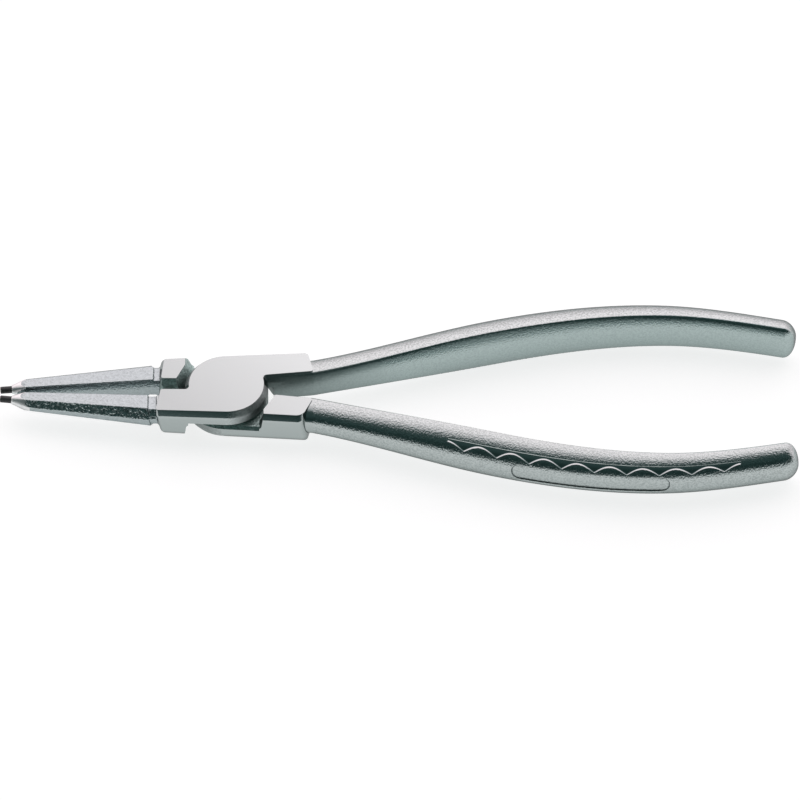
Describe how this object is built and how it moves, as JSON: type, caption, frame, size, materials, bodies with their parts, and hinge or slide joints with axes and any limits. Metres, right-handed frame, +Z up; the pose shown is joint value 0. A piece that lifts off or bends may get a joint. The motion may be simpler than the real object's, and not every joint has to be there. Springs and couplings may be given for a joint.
{
  "type": "circlip pliers",
  "caption": "Straight-tip circlip pliers: crossing chrome-plated forged levers lap-jointed on a flush rivet, with tapering jaws, hardened tip pins and bowed handles.",
  "frame": {"origin": "on the pivot axis, at the joint's ground under face", "axes": "+X along the tool towards the handles, +Y to the upper handle in the picture, +Z up out of the front face of the joint"},
  "size_m": [0.1801, 0.0534, 0.0108],
  "materials": {
    "lever": "satin chrome on the forged skin, polished on the joint faces",
    "rivet": "polished, ground flush",
    "tip": "burnished hardened steel"
  },
  "bodies": {
    "rear_half": {"rear_lever": "lever", "rear_tip_pin": "tip"},
    "front_half": {"front_lever": "lever", "joint_rivet": "rivet", "front_tip_pin": "tip"}
  },
  "joints": [
    {"name": "pivot", "type": "hinge", "parent": "rear_half", "child": "front_half", "pos_m": [0, 0, 0], "axis": [0, 0, 1], "range_deg": [-0.6, 30]}
  ]
}
